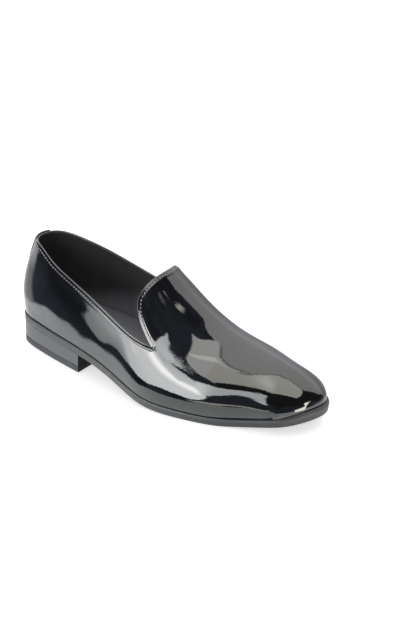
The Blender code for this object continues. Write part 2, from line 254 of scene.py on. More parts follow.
# Corners that two cards share
SOFTBOX_FOOT = ((-0.155, -0.066), (-0.15, -0.074), (-0.138, -0.077))
SOFTBOX_SIDE = ((-0.13, 0.12), (-0.142, 0.01), (-0.164, -0.026), (-0.168, -0.04), (-0.162, -0.053))
CARDS = (
    Card("softbox", *SIDE, 0.30, (
        *SOFTBOX_FOOT, (-0.076, -0.067), (0.033, -0.044), (0.093, -0.021), (0.132, -0.012), (0.162, 0.01),
        (0.183, 0.04), (0.199, 0.073), (0.212, 0.12), (0.212, 0.18), (0.218, 0.25), (0.255, 0.35),
        (0.222, 0.345), (0.2, 0.31), (0.185, 0.285), (0.15, 0.245), *SOFTBOX_SIDE),
        1.5, COOL, (0.13, 0.10), (0.32, 0.38), 5.2),
    Card("softbox_left", *SIDE, 0.2995, (
        *SOFTBOX_FOOT, (-0.115, -0.0735), (-0.115, 0.125), *SOFTBOX_SIDE),
        1.4, COOL, (-0.112, 0.0), (0.024, 0.15), 2.0),
    Card("softbox_streak", *SIDE, 0.2990, (
        (-0.05, 0.015), (0.047, 0.06), (0.123, 0.086), (0.16, 0.086), (0.192, 0.12), (0.19, 0.24),
        (0.12, 0.245), (0.04, 0.2), (-0.05, 0.15)),
        6.2, NEUTRAL, (0.160, 0.167), (0.12, 0.045), 5.0),
    Card("softbox_tip", *CEILING, 0.13, (
        (0.026, -0.148), (0.034, -0.128), (0.046, -0.089), (0.0505, -0.072), (0.0525, -0.057),
        (0.0538, -0.057), (0.055, -0.066), (0.057, -0.07), (0.0585, -0.076), (0.058, -0.091),
        (0.057, -0.115), (0.045, -0.165)),
        4.3, COOL, (0.05, -0.12), (0.03, 0.03), 1.2),
    Card("softbox_end", *CEILING, 0.119, (
        (0.0578, -0.131), (0.062, -0.121), (0.07, -0.111), (0.0795, -0.105), (0.095, -0.088),
        (0.1015, -0.07), (0.103, -0.06), (0.107, -0.053), (0.105, -0.078), (0.106, -0.106), (0.1, -0.152),
        (0.083, -0.2), (0.066, -0.28), (0.056, -0.17)),
        3.9, COOL, (0.056, -0.16), (0.014, 0.10), 2.8),
    Card("table", *SIDE, 0.30, (
        (-0.6, -0.2), (-0.36, -0.145), (-0.27, -0.13), (-0.2, -0.125), (-0.12, -0.127), (-0.05, -0.098),
        (0.015, -0.083), (0.08, -0.077), (0.12, -0.069), (0.156, -0.038), (0.183, -0.006), (0.203, 0.02),
        (0.234, 0.02), (0.281, 0.03), (0.33, 0.002), (0.4, 0.01), (0.7, -0.24), (0.7, -0.6), (-0.6, -0.6)),
        1.33, COOL, (-0.15, -0.15), (0.28, 0.5), 0.2),
    Card("table_rim", *SIDE, 0.299, (
        (0.152, -0.016), (0.197, 0.03), (0.234, 0.043), (0.279, 0.062), (0.335, 0.075), (0.335, 0.045),
        (0.281, 0.026), (0.234, 0.014), (0.196, 0.004), (0.149, -0.029)),
        2.5, WARM),
    Card("toe_window", *CEILING, 0.12, (
        (0.066, -0.03), (0.071, -0.03), (0.076, -0.028), (0.088, -0.023), (0.096, -0.005), (0.103, 0.011),
        (0.111, 0.027), (0.132, 0.041), (0.151, 0.048), (0.162, 0.048), (0.177, 0.025), (0.178, 0.01),
        (0.145, -0.008), (0.104, -0.038), (0.094, -0.057), (0.076, -0.08), (0.07, -0.087), (0.066, -0.075)),
        2.65, WARM, (0.104, -0.012), (0.010, 0.02), 1.3),
    Card("toe_flag", *CEILING, 0.1205, (
        (0.078, -0.027), (0.088, -0.021), (0.096, -0.003), (0.103, 0.013), (0.111, 0.029), (0.132, 0.043),
        (0.152, 0.05), (0.163, 0.05), (0.174, 0.076), (0.184, 0.088), (0.206, 0.112), (0.26, 0.14),
        (0.26, -0.05), (0.17, -0.12), (0.1, -0.12), (0.074, -0.092)),
        0.06, NEUTRAL),
    Card("toe_light", *TOE_SIDE, 0.273, (
        (0.075, -0.048), (0.093, -0.044), (0.122, -0.048), (0.108, -0.08), (0.081, -0.101),
        (0.07, -0.144), (0.068, -0.22), (0.1, -0.4), (0.15, -0.6), (0.022, -0.553), (0.005, -0.276),
        (0.042, -0.235), (0.06, -0.2), (0.058, -0.123)),
        8.5, WARM),
    Card("window", *CEILING, 3.0, (
        (1.044, 0.109), (0.89, 0.07), (0.755, 0.15), (0.473, 0.524), (0.228, 0.807), (0.087, 0.218),
        (-0.057, -0.152), (-0.12, -0.42), (-0.1, -0.8), (0.04, -1.2), (0.055, -1.52), (0.055, -1.86),
        (0.13, -2.02), (0.29, -1.78), (0.45, -1.68), (0.64, -1.44), (0.768, -0.88), (0.88, -0.38)),
        3.0, NEUTRAL),
    Card("window_streak", *CEILING, 2.99, (
        (0.73, -0.98), (0.42, -0.63), (0.19, -0.245), (0.08, -0.07), (0.04, -0.25), (0.14, -0.46),
        (0.34, -0.83), (0.68, -1.09)),
        4.5, WARM),
    Card("overhead", *CEILING, 3.0, (
        (-3.0, -0.9), (-0.22, -0.9), (-0.22, -0.5), (-0.15, -0.4), (-0.09, -0.15), (0.05, 0.22),
        (0.19, 0.83), (0.3, 0.9), (0.54, 0.82), (0.785, 1.1), (1.0, 1.63), (1.32, 1.89), (1.66, 1.92),
        (1.93, 1.74), (2.1, 1.9), (2.1, 3.9), (-3.0, 3.9)),
        1.15, NEUTRAL, (-0.6, 0.0), (3.6, 3.0), 0.7),
    Card("lamp", *CEILING, 3.0, (
        (1.68, 0.57), (1.65, 0.96), (1.55, 1.12), (1.57, 0.63)), 2.9, WARM),
    Card("lamp_small", *CEILING, 3.0, (
        (1.87, 0.42), (1.87, 0.53), (1.8, 0.56), (1.795, 0.43)), 1.8, WARM),
    Card("lamp_far", *CEILING, 3.0, (
        (1.66, -0.2), (1.74, 0.05), (1.79, 0.13), (1.75, -0.12)), 1.1, WARM),
)

# Floor and backdrop
FLOOR_SIZE = 6.0
FLOOR_GLOW = 0.62
BACKDROP_RADIUS = 6.0
BACKDROP_SIDES = 48
BACKDROP_LEVEL = 0.92
SUN_STRENGTH = 1.3
SUN_ANGLE = 120


def column(rows, name):
    return np.array([getattr(row, name) for row in rows])


def spline(xs, ys):
    """Natural cubic spline through the points, as a function."""
    xs = np.asarray(xs, float)
    ys = np.asarray(ys, float)
    count = len(xs)
    step = np.diff(xs)
    slope = np.diff(ys) / step
    matrix = np.eye(count)
    right = np.zeros(count)
    for i in range(1, count - 1):
        matrix[i, i - 1:i + 2] = step[i - 1], 2 * (step[i - 1] + step[i]), step[i]
        right[i] = 6 * (slope[i] - slope[i - 1])
    bend = np.linalg.solve(matrix, right)

    def value(x):
        x = np.asarray(x, float)
        i = np.clip(np.searchsorted(xs, x) - 1, 0, count - 2)
        after = xs[i + 1] - x
        before = x - xs[i]
        cubic = (bend[i] * after ** 3 + bend[i + 1] * before ** 3) / (6 * step[i])
        start = ys[i] / step[i] - bend[i] * step[i] / 6
        end = ys[i + 1] / step[i] - bend[i + 1] * step[i] / 6
        return cubic + start * after + end * before

    return value


def smooth_share(x, start, end):
    """0 before start, 1 after end, with a soft S between."""
    share = np.clip((x - start) / (end - start), 0, 1)
    return share * share * (3 - 2 * share)


def bell(value, middle, width):
    """1 at the middle, falling off smoothly to both sides."""
    return np.exp(-((value - middle) / width) ** 2)


def unit(vectors):
    return vectors / np.linalg.norm(vectors, axis=-1, keepdims=True)


def outward_of(loop, reach):
    """Outward directions in plan of a closed outline, from the points reach steps ahead and behind."""
    along = np.roll(loop, -reach, 0) - np.roll(loop, reach, 0)
    return unit(np.stack([along[:, 1], -along[:, 0]], -1))


def run_along(line):
    """Length of a line up to each of its points."""
    steps = np.linalg.norm(np.diff(line, axis=0), axis=1)
    return np.concatenate([[0], np.cumsum(steps)])


def at_run(line, run, where):
    """Coordinates of a line at a length along it."""
    return np.array([np.interp(where, run, line[:, i]) for i in range(line.shape[1])])


def round_ends(x):
    """Plan factor of a last: half round at the heel and at the toe, 1 at mid length."""
    share = np.clip(x / UPPER_LENGTH, 0, 1)
    return 2 * np.sqrt(share * (1 - share))


def blunt_toe(x):
    """Height factor: 1 along the shoe, closing in a round nose at the toe."""
    share = np.clip(x / UPPER_LENGTH, 0, 1)
    return np.sqrt(1 - share ** TOE_BLUNTNESS)


SECTION_X = column(SECTIONS, "x")
ALL_X = np.append(SECTION_X, UPPER_LENGTH)
HALF_WIDTH = (column(SECTIONS, "outer") + column(SECTIONS, "inner")) / 2
SIDE_SHIFT = (column(SECTIONS, "inner") - column(SECTIONS, "outer")) / 2
WIDTH_ENDS = np.sqrt(np.array([HEEL_END_RADIUS, TOE_END_RADIUS]) * UPPER_LENGTH / 2)

underside = spline(column(SOLE_RISE, "x"), column(SOLE_RISE, "underside"))
width_factor = spline(ALL_X, np.concatenate([
    WIDTH_ENDS[:1], HALF_WIDTH[1:] / round_ends(SECTION_X[1:]), WIDTH_ENDS[1:]]))
middle_y = spline(ALL_X, np.append(SIDE_SHIFT, TOE_END_Y))
ridge_y = spline(ALL_X, np.append(column(SECTIONS, "ridge_y"), TOE_END_Y))
fullness = spline(ALL_X, np.append(column(SECTIONS, "fullness"), 0.0))
back_shift = spline(column(BACK_CURVE, "height"), column(BACK_CURVE, "shift"))
outer_collar = spline(column(COLLAR, "x"), column(COLLAR, "height"))


def sole_top(x):
    return underside(x) + SOLE_THICKNESS


def bulge(x):
    """Height of the widest line over the sole, lower at the toe."""
    return BULGE_HEIGHT - BULGE_FALL * smooth_share(x, BULGE_FALL_START, UPPER_LENGTH)


def widest_z(x):
    return sole_top(x) + bulge(x)


height_factor = spline(SECTION_X, (column(SECTIONS, "ridge") - widest_z(SECTION_X)) / blunt_toe(SECTION_X))


def half_height(x):
    return blunt_toe(x) * height_factor(x)


def surface(x, angle):
    """Point of the last's outer surface."""
    x = np.asarray(x, float)
    sine = np.sin(angle)
    cosine = np.cos(angle)
    middle = middle_y(x)
    half = round_ends(x) * width_factor(x)
    lean = (ridge_y(x) - middle) * np.maximum(sine, 0) ** 3
    y = middle - half * cosine * (1 + fullness(x) * sine ** 2) + lean
    z = widest_z(x) + half_height(x) * sine
    near_back = np.clip(1 - x / BACK_REACH, 0, 1) ** 2
    shifted = x + back_shift(np.maximum(z - sole_top(x), 0)) * near_back
    return np.stack(np.broadcast_arrays(shifted, y, z), -1)


def angle_at(x, z):
    """Angle on the outer side where the surface has height z."""
    return np.arcsin(np.clip((z - widest_z(x)) / half_height(x), -1, 1))


def foot_angle(x):
    """Angle of the upper's lower edge, just clear of the sole."""
    return angle_at(x, sole_top(x) + GAP)


def toe_foot_x():
    """Section where the lower edge of the upper closes under the toe."""
    low, high = SECTION_X[-1], UPPER_LENGTH
    for _ in range(50):
        middle = (low + high) / 2
        if half_height(middle) > bulge(middle) - GAP:
            low = middle
        else:
            high = middle
    return low


TOE_FOOT_X = toe_foot_x()


def inner_collar(x):
    """The collar stands higher on the inner side, most of all at the notch."""
    return outer_collar(x) + INNER_COLLAR_RISE * smooth_share(x, 0, NOTCH_X)


def plan_loop(xs, margin):
    """Plan outline of the lower edge, pushed out by margin: back, outer side, front, inner side."""
    angles = foot_angle(xs)
    outer = surface(xs, angles)
    inner = surface(xs, np.pi - angles)
    back_to_front = np.append(xs, xs[:0:-1])
    loop = np.concatenate([outer, inner[:0:-1]])
    if xs[-1] == TOE_FOOT_X:
        keep = np.arange(len(loop)) != len(xs)
        loop = loop[keep]
        back_to_front = back_to_front[keep]
    return back_to_front, loop[:, :2] + outward_of(loop, 1) * np.reshape(margin(back_to_front), (-1, 1))


def sole_margin(x):
    extra = SOLE_MARGIN_TOE - SOLE_MARGIN_SIDE
    return SOLE_MARGIN_SIDE + extra * smooth_share(x, TOE_MARGIN_START, TOE_MARGIN_END)


def whole_length(stations):
    """Sections from the back to under the toe, crowded at both round ends."""
    turn = np.linspace(0, np.pi, stations + 1)
    xs = TOE_FOOT_X * (1 - np.cos(turn)) / 2
    xs[-1] = TOE_FOOT_X
    return xs


def frame_middle():
    """Middle of the shoe's length and width, from the sole's edge and the upper's back."""
    _, edge = plan_loop(whole_length(FRAME_STATIONS), sole_margin)
    back = min(edge[:, 0].min(), column(BACK_CURVE, "shift").min())
    front = max(edge[:, 0].max(), UPPER_LENGTH)
    return (back + front) / 2, (edge[:, 1].min() + edge[:, 1].max()) / 2


LAST_TO_FRAME = -np.array([*frame_middle(), 0.0])


def tongue_edge(share):
    """Section of the tongue edge: round out of the notch, then across the instep with a slight dip."""
    from_notch = (1 - share ** TONGUE_CORNER) ** TONGUE_TURN
    return TONGUE_X + (NOTCH_X - TONGUE_X) * from_notch + TONGUE_DIP * smooth_share(share, 0, 1)


def side_spokes(collar, side):
    """Spokes of one side from the back seam to the toe."""
    quarter = np.linspace(0, 1, QUARTER_COLUMNS + 1)
    vamp = np.linspace(0, 1, VAMP_COLUMNS + 1)[1:]
    share = vamp ** TONGUE_CROWDING
    quarter_x = NOTCH_X * (1 - np.cos(np.pi * quarter)) / 2
    foot_x = np.append(quarter_x, NOTCH_X + (TOE_FOOT_X - NOTCH_X) * np.sin(np.pi / 2 * vamp))
    top_x = np.append(quarter_x, tongue_edge(share))
    notch_angle = angle_at(NOTCH_X, collar(NOTCH_X))
    tongue_angle = notch_angle + (np.pi / 2 - notch_angle) * share
    top_angle = np.append(angle_at(quarter_x, collar(quarter_x)), tongue_angle)
    straight = np.append(smooth_share(quarter, 0, 1), np.ones_like(vamp))
    sides = np.full_like(foot_x, side)
    return np.column_stack([foot_x, foot_angle(foot_x), top_x, top_angle, straight, sides])


def spoke_points(spokes, rows):
    """Points up each spoke, from the lower edge at 0 to the collar or tongue edge at 1."""
    foot_x, foot, top_x, top, straight, side = (value[:, None] for value in spokes.T)
    foot_reach = np.sqrt(1 - foot_x / UPPER_LENGTH)
    top_reach = np.sqrt(1 - top_x / UPPER_LENGTH)
    reach = foot_reach + (top_reach - foot_reach) * rows
    angle = foot + (top - foot) * rows
    chord_a = (1 - rows) * foot_reach * np.cos(foot) + rows * top_reach * np.cos(top)
    chord_b = (1 - rows) * foot_reach * np.sin(foot) + rows * top_reach * np.sin(top)
    a = side * ((1 - straight) * reach * np.cos(angle) + straight * chord_a)
    b = (1 - straight) * reach * np.sin(angle) + straight * chord_b
    x = np.maximum(UPPER_LENGTH * (1 - a * a - b * b), 0)
    return surface(x, np.arctan2(b, a))


def edge_tree(edge):
    """Search tree of the collar and tongue edge."""
    tree = KDTree(len(edge))
    for i, place in enumerate(edge):
        tree.insert(place, i)
    tree.balance()
    return tree


def edge_distance(points, edge):
    """Distance of each point from the collar and tongue edge."""
    tree = edge_tree(edge)
    flat = points.reshape(-1, 3)
    return np.array([tree.find(place)[2] for place in flat]).reshape(points.shape[:-1])


def denser(loop, times):
    """A closed loop with straight steps put between its points."""
    ahead = np.roll(loop, -1, 0)
    share = np.arange(times)[None, :, None] / times
    return (loop[:, None] * (1 - share) + ahead[:, None] * share).reshape(-1, 3)


# Rows of the upper's mesh near its edge, as distances from that edge
EDGE_ROWS = np.concatenate([
    np.arange(RIM_RADIUS, 0.0041, 0.0002),
    np.arange(0.0045, 0.0070, 0.0005)])


def edge_row(distance):
    """Mesh row at a distance from the edge, counted from the edge."""
    return np.abs(EDGE_ROWS - distance).argmin()


def upper_rows():
    """Shares of each spoke: even distances near the edge, then steps that crowd towards both ends."""
    spokes = np.concatenate([
        side_spokes(outer_collar, 1.0),
        side_spokes(inner_collar, -1.0)[-2:0:-1]])
    fine = np.linspace(0, 1, FINE_ROWS + 1)
    points = spoke_points(spokes, fine[None, :])
    edge = denser(points[:, -1], 8)
    near = FINE_ROWS * 6 // 10
    distance = edge_distance(points[:, near:], edge)
    steps = np.linalg.norm(np.diff(points, axis=1), axis=2)
    length = np.concatenate([np.zeros((len(spokes), 1)), np.cumsum(steps, axis=1)], axis=1)
    even = np.linspace(0, 1, FIELD_ROWS + 1)[:-1]
    field = 0.5 * even + 0.25 * (1 - np.cos(np.pi * even))
    shares = []
    for c in range(len(spokes)):
        edge_share = np.interp(EDGE_ROWS[::-1], distance[c, ::-1], fine[near:][::-1])
        field_end = np.interp(edge_share[0], fine, length[c])
        field_share = np.interp(field * field_end, length[c], fine)
        shares.append(np.concatenate([field_share, edge_share]))
    return spokes, np.array(shares), edge


def grid_normals(grid):
    """Outward normals of a grid whose columns close in a loop."""
    along = np.roll(grid, -1, 0) - np.roll(grid, 1, 0)
    up = np.gradient(grid, axis=1)
    normal = np.cross(along, up)
    return normal / np.maximum(np.linalg.norm(normal, axis=2, keepdims=True), 1e-12)


def from_middle(points):
    """Distance of each point from the shoe's middle line, positive on the inner side."""
    return points[..., 1] - middle_y(np.clip(points[..., 0], 0, UPPER_LENGTH))


def notch_outwards(points, normals):
    """Normals turned outwards beside the notches, where the spokes run along the edge."""
    aside = from_middle(points)
    near = (np.abs(aside) > NOTCH_ASIDE) & (np.abs(points[:, :, 0] - NOTCH_X) < NOTCH_REACH)
    wrong = near & (aside * normals[:, :, 1] < 0)
    return np.where(wrong[:, :, None], -normals, normals)


def segment_distance(x, z, crease):
    """Distance from a crease's line in side view."""
    dx = crease.x2 - crease.x1
    dz = crease.z2 - crease.z1
    share = ((x - crease.x1) * dx + (z - crease.z1) * dz) / (dx * dx + dz * dz)
    held = np.clip(share, 0, 1)
    return np.hypot(x - crease.x1 - held * dx, z - crease.z1 - held * dz)


def leather_relief(points, distance):
    """Height of the leather over the last: waves, creases, thinned rim, stitched groove, turned-in foot."""
    height = np.zeros(points.shape[:2])
    for wave in WAVES:
        direction = np.array(wave.direction) / np.linalg.norm(wave.direction)
        height += wave.height * np.sin(2 * np.pi / wave.length * (points @ direction) + wave.phase)
    x, _, z = np.moveaxis(points, -1, 0)
    for crease in CREASES:
        away = segment_distance(x, z, crease) / crease.width
        this_side = from_middle(points) * crease.side > 0
        height -= this_side * crease.depth * (1 - 0.6 * away ** 2) * np.exp(-away ** 2)
    height *= smooth_share(distance, RELIEF_START, RELIEF_END)
    steps = np.linalg.norm(np.diff(points, axis=1, prepend=points[:, :1]), axis=2)
    over_foot = np.clip(1 - np.cumsum(steps, axis=1) / FOOT_TURN, 0, 1)
    height -= FOOT_DEPTH * over_foot ** 2 * (1 - smooth_share(x, FOOT_FADE_START, FOOT_FADE_END))
    height -= RIM_FALL * (1 - smooth_share(distance, RIM_RADIUS, RIM_STRIP))
    height -= STITCH_GROOVE * bell(distance, STITCH_LINE, STITCH_GROOVE_WIDTH)
    height += RIDGE_HEIGHT * bell(distance, RIDGE_LINE, RIDGE_WIDTH)
    return height


def loop_faces(columns, rows, close_rows):
    """Faces of a grid whose columns close in a loop, and whose rows may close too."""
    faces = []
    for c in range(columns):
        here = c * rows
        beside = (c + 1) % columns * rows
        for r in range(rows if close_rows else rows - 1):
            s = (r + 1) % rows
            faces.append((here + r, beside + r, beside + s, here + s))
    return faces


def stack(levels):
    """Closed solid through outline levels, bottom to top; a strip of faces closes each end."""
    count = len(levels[0])
    faces = []
    for level in range(len(levels) - 1):
        low = level * count
        high = low + count
        for i in range(count):
            j = (i + 1) % count
            faces.append((low + i, low + j, high + j, high + i))
    top = (len(levels) - 1) * count
    for i in range((count - 1) // 2 + (count % 2 == 0)):
        ring = list(dict.fromkeys((i, i + 1, count - i - 1, (count - i) % count)))
        faces.append(tuple(reversed(ring)))
        faces.append(tuple(top + k for k in ring))
    return np.concatenate(levels), faces


def at_height(plan, z):
    return np.column_stack([plan, np.broadcast_to(z, len(plan))])


def new_object(name, data):
    """An object in the scene."""
    thing = bpy.data.objects.new(name, data)
    bpy.context.scene.collection.objects.link(thing)
    return thing


def add_piece(name, vertices, faces, materials, slot, replaced=(), sharp=35.0, which=None):
    """A mesh in the shoe's frame that rides on the shoe; which gives each face's material."""
    mesh = bpy.data.meshes.new(name)
    placed = np.asarray(vertices, float) + LAST_TO_FRAME
    mesh.from_pydata(placed.tolist(), [], faces)
    for material in materials:
        mesh.materials.append(material)
    if which is not None:
        mesh.polygons.foreach_set("material_index", np.asarray(which, dtype=np.int32))
    mesh.shade_smooth()
    mesh.set_sharp_from_angle(angle=math.radians(sharp))
    mesh.validate()
    piece = new_object(name, mesh)
    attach(piece, "root")
    if replaced:
        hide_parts(*replaced)


class Nodes:
    """Short calls for building a node tree."""

    def __init__(self, tree):
        self.tree = tree

    def add(self, kind, values=None, **settings):
        node = self.tree.nodes.new(kind)
        for key, value in settings.items():
            setattr(node, key, value)
        for key, value in (values or {}).items():
            self.feed(node, key, value)
        return node

    def feed(self, node, key, value):
        if isinstance(value, bpy.types.NodeSocket):
            self.tree.links.new(value, node.inputs[key])
        else:
            node.inputs[key].default_value = value

    def math(self, operation, *values):
        node = self.add("ShaderNodeMath", operation=operation)
        for i, value in enumerate(values):
            self.feed(node, i, value)
        return node.outputs[0]

    def span(self, value, low, high, to_low, to_high, smooth=False):
        """Maps low..high to to_low..to_high and holds the ends."""
        values = {"Value": value, "From Min": low, "From Max": high, "To Min": to_low, "To Max": to_high}
        kind = "SMOOTHSTEP" if smooth else "LINEAR"
        return self.add("ShaderNodeMapRange", values, interpolation_type=kind).outputs["Result"]

    def split(self, vector):
        return self.add("ShaderNodeSeparateXYZ", {0: vector}).outputs

    def edge(self, value, middle, soft, before, after):
        """Soft step from before to after round a middle value."""
        return self.span(value, middle - soft / 2, middle + soft / 2, before, after, True)

    def vector(self, operation, first, second):
        """Vector arithmetic; a scale has a number as its second value."""
        key = "Scale" if operation == "SCALE" else 1
        node = self.add("ShaderNodeVectorMath", {0: first, key: second}, operation=operation)
        return node.outputs["Value" if operation == "DOT_PRODUCT" else "Vector"]

    def noise(self, place, scale, detail=2.0):
        node = self.add("ShaderNodeTexNoise", {"Vector": place, "Scale": scale, "Detail": detail})
        return node.outputs["Fac"]

    def blend(self, share, first, second):
        """Colour between two colours."""
        node = self.add("ShaderNodeMix", data_type="RGBA")
        for key, value in ((0, share), (6, first), (7, second)):
            self.feed(node, key, value)
        return node.outputs[2]

    def bump(self, height, distance, normal=None):
        values = {"Height": height, "Distance": distance, "Strength": 1.0}
        if normal is not None:
            values["Normal"] = normal
        return self.add("ShaderNodeBump", values).outputs["Normal"]


BEIGE = (1.04, 1.0, 0.92)
NOISE_RANGE = (0.3, 0.7)


def grey(level, tint=(1.0, 1.0, 1.04)):
    return (level * tint[0], level * tint[1], level * tint[2], 1.0)


def new_material(name):
    """A material with its node helper, its shader and the place in the shoe's frame."""
    material = bpy.data.materials.new(name)
    material.use_nodes = True
    nodes = Nodes(material.node_tree)
    shader = material.node_tree.nodes["Principled BSDF"]
    place = nodes.add("ShaderNodeTexCoord").outputs["Object"]
    return material, nodes, shader, place


def pattern_finish(nodes, shader, pattern, colours, roughness):
    """Colour and roughness that follow one pattern."""
    nodes.feed(shader, "Base Color", nodes.blend(pattern, *colours))
    nodes.feed(shader, "Roughness", nodes.span(pattern, *NOISE_RANGE, *roughness))


def patent_material(name):
    """Black lacquered leather: a hard gloss over slow waves and a fine orange peel."""
    material, nodes, shader, place = new_material(name)
    tone = nodes.noise(place, 45.0, 3.0)
    nodes.feed(shader, "Base Color", nodes.blend(tone, grey(0.0020), grey(0.0035)))
    nodes.feed(shader, "Roughness", nodes.span(nodes.noise(place, 300.0), *NOISE_RANGE, 0.03, 0.06))
    nodes.feed(shader, "Coat Weight", 1.0)
    nodes.feed(shader, "Coat Roughness", 0.01)
    slow = nodes.bump(nodes.noise(place, 55.0, 1.0), 0.00006)
    peel = nodes.bump(nodes.noise(place, 900.0, 1.0), 0.000012, normal=slow)
    nodes.feed(shader, "Normal", peel)
    nodes.feed(shader, "Coat Normal", peel)
    return material


def lining_material():
    """Dark leather lining with a fine matte weave, painted light grey low down and towards the front as
    painted light.
    """
    material, nodes, shader, place = new_material("lining_leather")
    tone = nodes.noise(place, 120.0, 4.0)
    parts = nodes.split(place)
    height = nodes.math("SUBTRACT", parts["Z"], nodes.math("MULTIPLY", parts["X"], 0.25))
    # Painted light: light grey low down and towards the front.
    painted_light_share = nodes.span(height, 0.046, 0.072, 1.0, 0.0, True)
    dark = nodes.blend(tone, grey(0.028), grey(0.050))
    nodes.feed(shader, "Base Color", nodes.blend(painted_light_share, dark, grey(0.27)))
    nodes.feed(shader, "Roughness", nodes.span(tone, *NOISE_RANGE, 0.55, 0.75))
    cells = nodes.add("ShaderNodeTexVoronoi", {"Vector": place, "Scale": 1100.0})
    nodes.feed(shader, "Normal", nodes.bump(cells.outputs["Distance"], 0.00008))
    return material


def sock_material():
    """Dark grey sock leather with a soft grain."""
    material, nodes, shader, place = new_material("sock_leather")
    tone = nodes.noise(place, 90.0, 5.0)
    pattern_finish(nodes, shader, tone, (grey(0.22), grey(0.31)), (0.45, 0.60))
    cells = nodes.add("ShaderNodeTexVoronoi", {"Vector": place, "Scale": 800.0})
    nodes.feed(shader, "Normal", nodes.bump(cells.outputs["Distance"], 0.00006))
    return material


def edge_material(name, dark, light, low, high, grain):
    """Dyed and polished sole edge: fine lengthwise streaks."""
    # Copies on the welt, the sole side and the heel breast carry painted light and shade in their tones.
    material, nodes, shader, place = new_material(name)
    stretched = nodes.add("ShaderNodeMapping", {"Vector": place, "Scale": (60.0, 60.0, 1400.0)})
    streaks = nodes.noise(stretched.outputs["Vector"], 1.0, 3.0)
    pattern_finish(nodes, shader, streaks, (grey(dark), grey(light)), (low, high))
    spots = nodes.noise(place, 700.0, 3.0)
    fine = nodes.bump(streaks, grain)
    nodes.feed(shader, "Normal", nodes.bump(spots, grain, normal=fine))
    return material


def breast_shade_material():
    """Painted shade on the heel's breast: near black and dull, for the shadow that falls on it."""
    material = edge_material("heel_breast_painted_shade", 0.006, 0.011, 0.60, 0.75, 0.00005)
    material.node_tree.nodes["Principled BSDF"].inputs["Specular IOR Level"].default_value = 0.12
    return material


def thread_material(name, dark, light):
    """Waxed thread with a twist."""
    material, nodes, shader, place = new_material(name)
    twist = nodes.noise(place, 2500.0, 2.0)
    pattern_finish(nodes, shader, twist, (grey(dark), grey(light)), (0.42, 0.58))
    nodes.feed(shader, "Normal", nodes.bump(twist, 0.00005))
    return material


def rim_highlight_material():
    """Painted highlight on the folded rim: light beige grey for the reflections along the collar edge,
    crossed by fine slanted marks.
    """
    material, nodes, shader, place = new_material("rim_painted_highlight")
    slant = nodes.add("ShaderNodeMapping", {
        "Vector": place, "Rotation": (0.0, 0.6, 0.7), "Scale": (1.0, 0.2, 0.2)})
    marks = nodes.noise(slant.outputs["Vector"], 1400.0, 2.0)
    pattern_finish(nodes, shader, marks, (grey(0.10, BEIGE), grey(0.24, BEIGE)), (0.30, 0.48))
    nodes.feed(shader, "Coat Weight", 1.0)
    nodes.feed(shader, "Coat Roughness", 0.12)
    nodes.feed(shader, "Normal", nodes.bump(marks, 0.00006))
    return material


def under_tab(place):
    """Whether a place of the collar's seam is covered by the heel tab."""
    return place[0] < TAB_REACH and abs(place[1]) < TAB_TOP_WIDTH / 2


